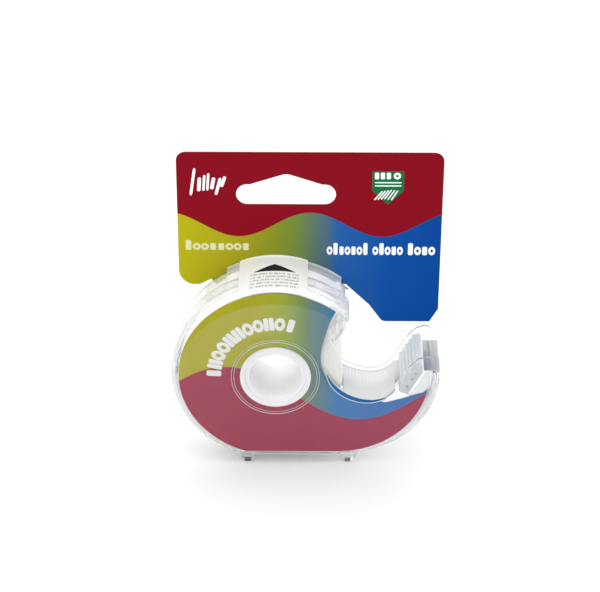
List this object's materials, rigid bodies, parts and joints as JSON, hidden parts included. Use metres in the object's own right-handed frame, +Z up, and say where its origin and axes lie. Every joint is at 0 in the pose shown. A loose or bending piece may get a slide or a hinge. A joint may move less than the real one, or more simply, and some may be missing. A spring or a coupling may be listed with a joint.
{
  "type": "tape dispenser",
  "caption": "Small hand tape dispenser: round clear case with a mouth and a serrated cutter, roll of clear tape on a hub inside, printed hang card behind.",
  "frame": {"origin": "middle of the part's footprint, on the plane that the feet stand on", "axes": "+X towards the cutter, +Y from the front of the case to its back, +Z up"},
  "size_m": [0.0969, 0.0224, 0.1188],
  "materials": {
    "clear_plastic": "gloss",
    "printed_card": "satin",
    "seal_paper": "satin",
    "core_plastic": "satin",
    "tape_film": "satin",
    "frosted_plastic": "satin",
    "cutter_steel": "satin"
  },
  "bodies": {
    "case_back": {"rear_shell": "clear_plastic", "header_card": "printed_card", "tape_rest": "frosted_plastic", "cutter_blade": "cutter_steel"},
    "case_front": {"front_shell": "clear_plastic", "face_label": "printed_card", "seal_strip": "seal_paper"},
    "roll": {"tape_core": "core_plastic", "tape_roll": "tape_film"}
  },
  "joints": [
    {"name": "roll_spin", "type": "hinge", "parent": "case_back", "child": "roll", "pos_m": [-0.01095, -0.00022, 0.0385], "axis": [0, 1, 0], "continuous": true},
    {"name": "case_open", "type": "slide", "parent": "case_back", "child": "case_front", "axis": [0, -1, 0], "range_m": [0, 0.022]}
  ]
}
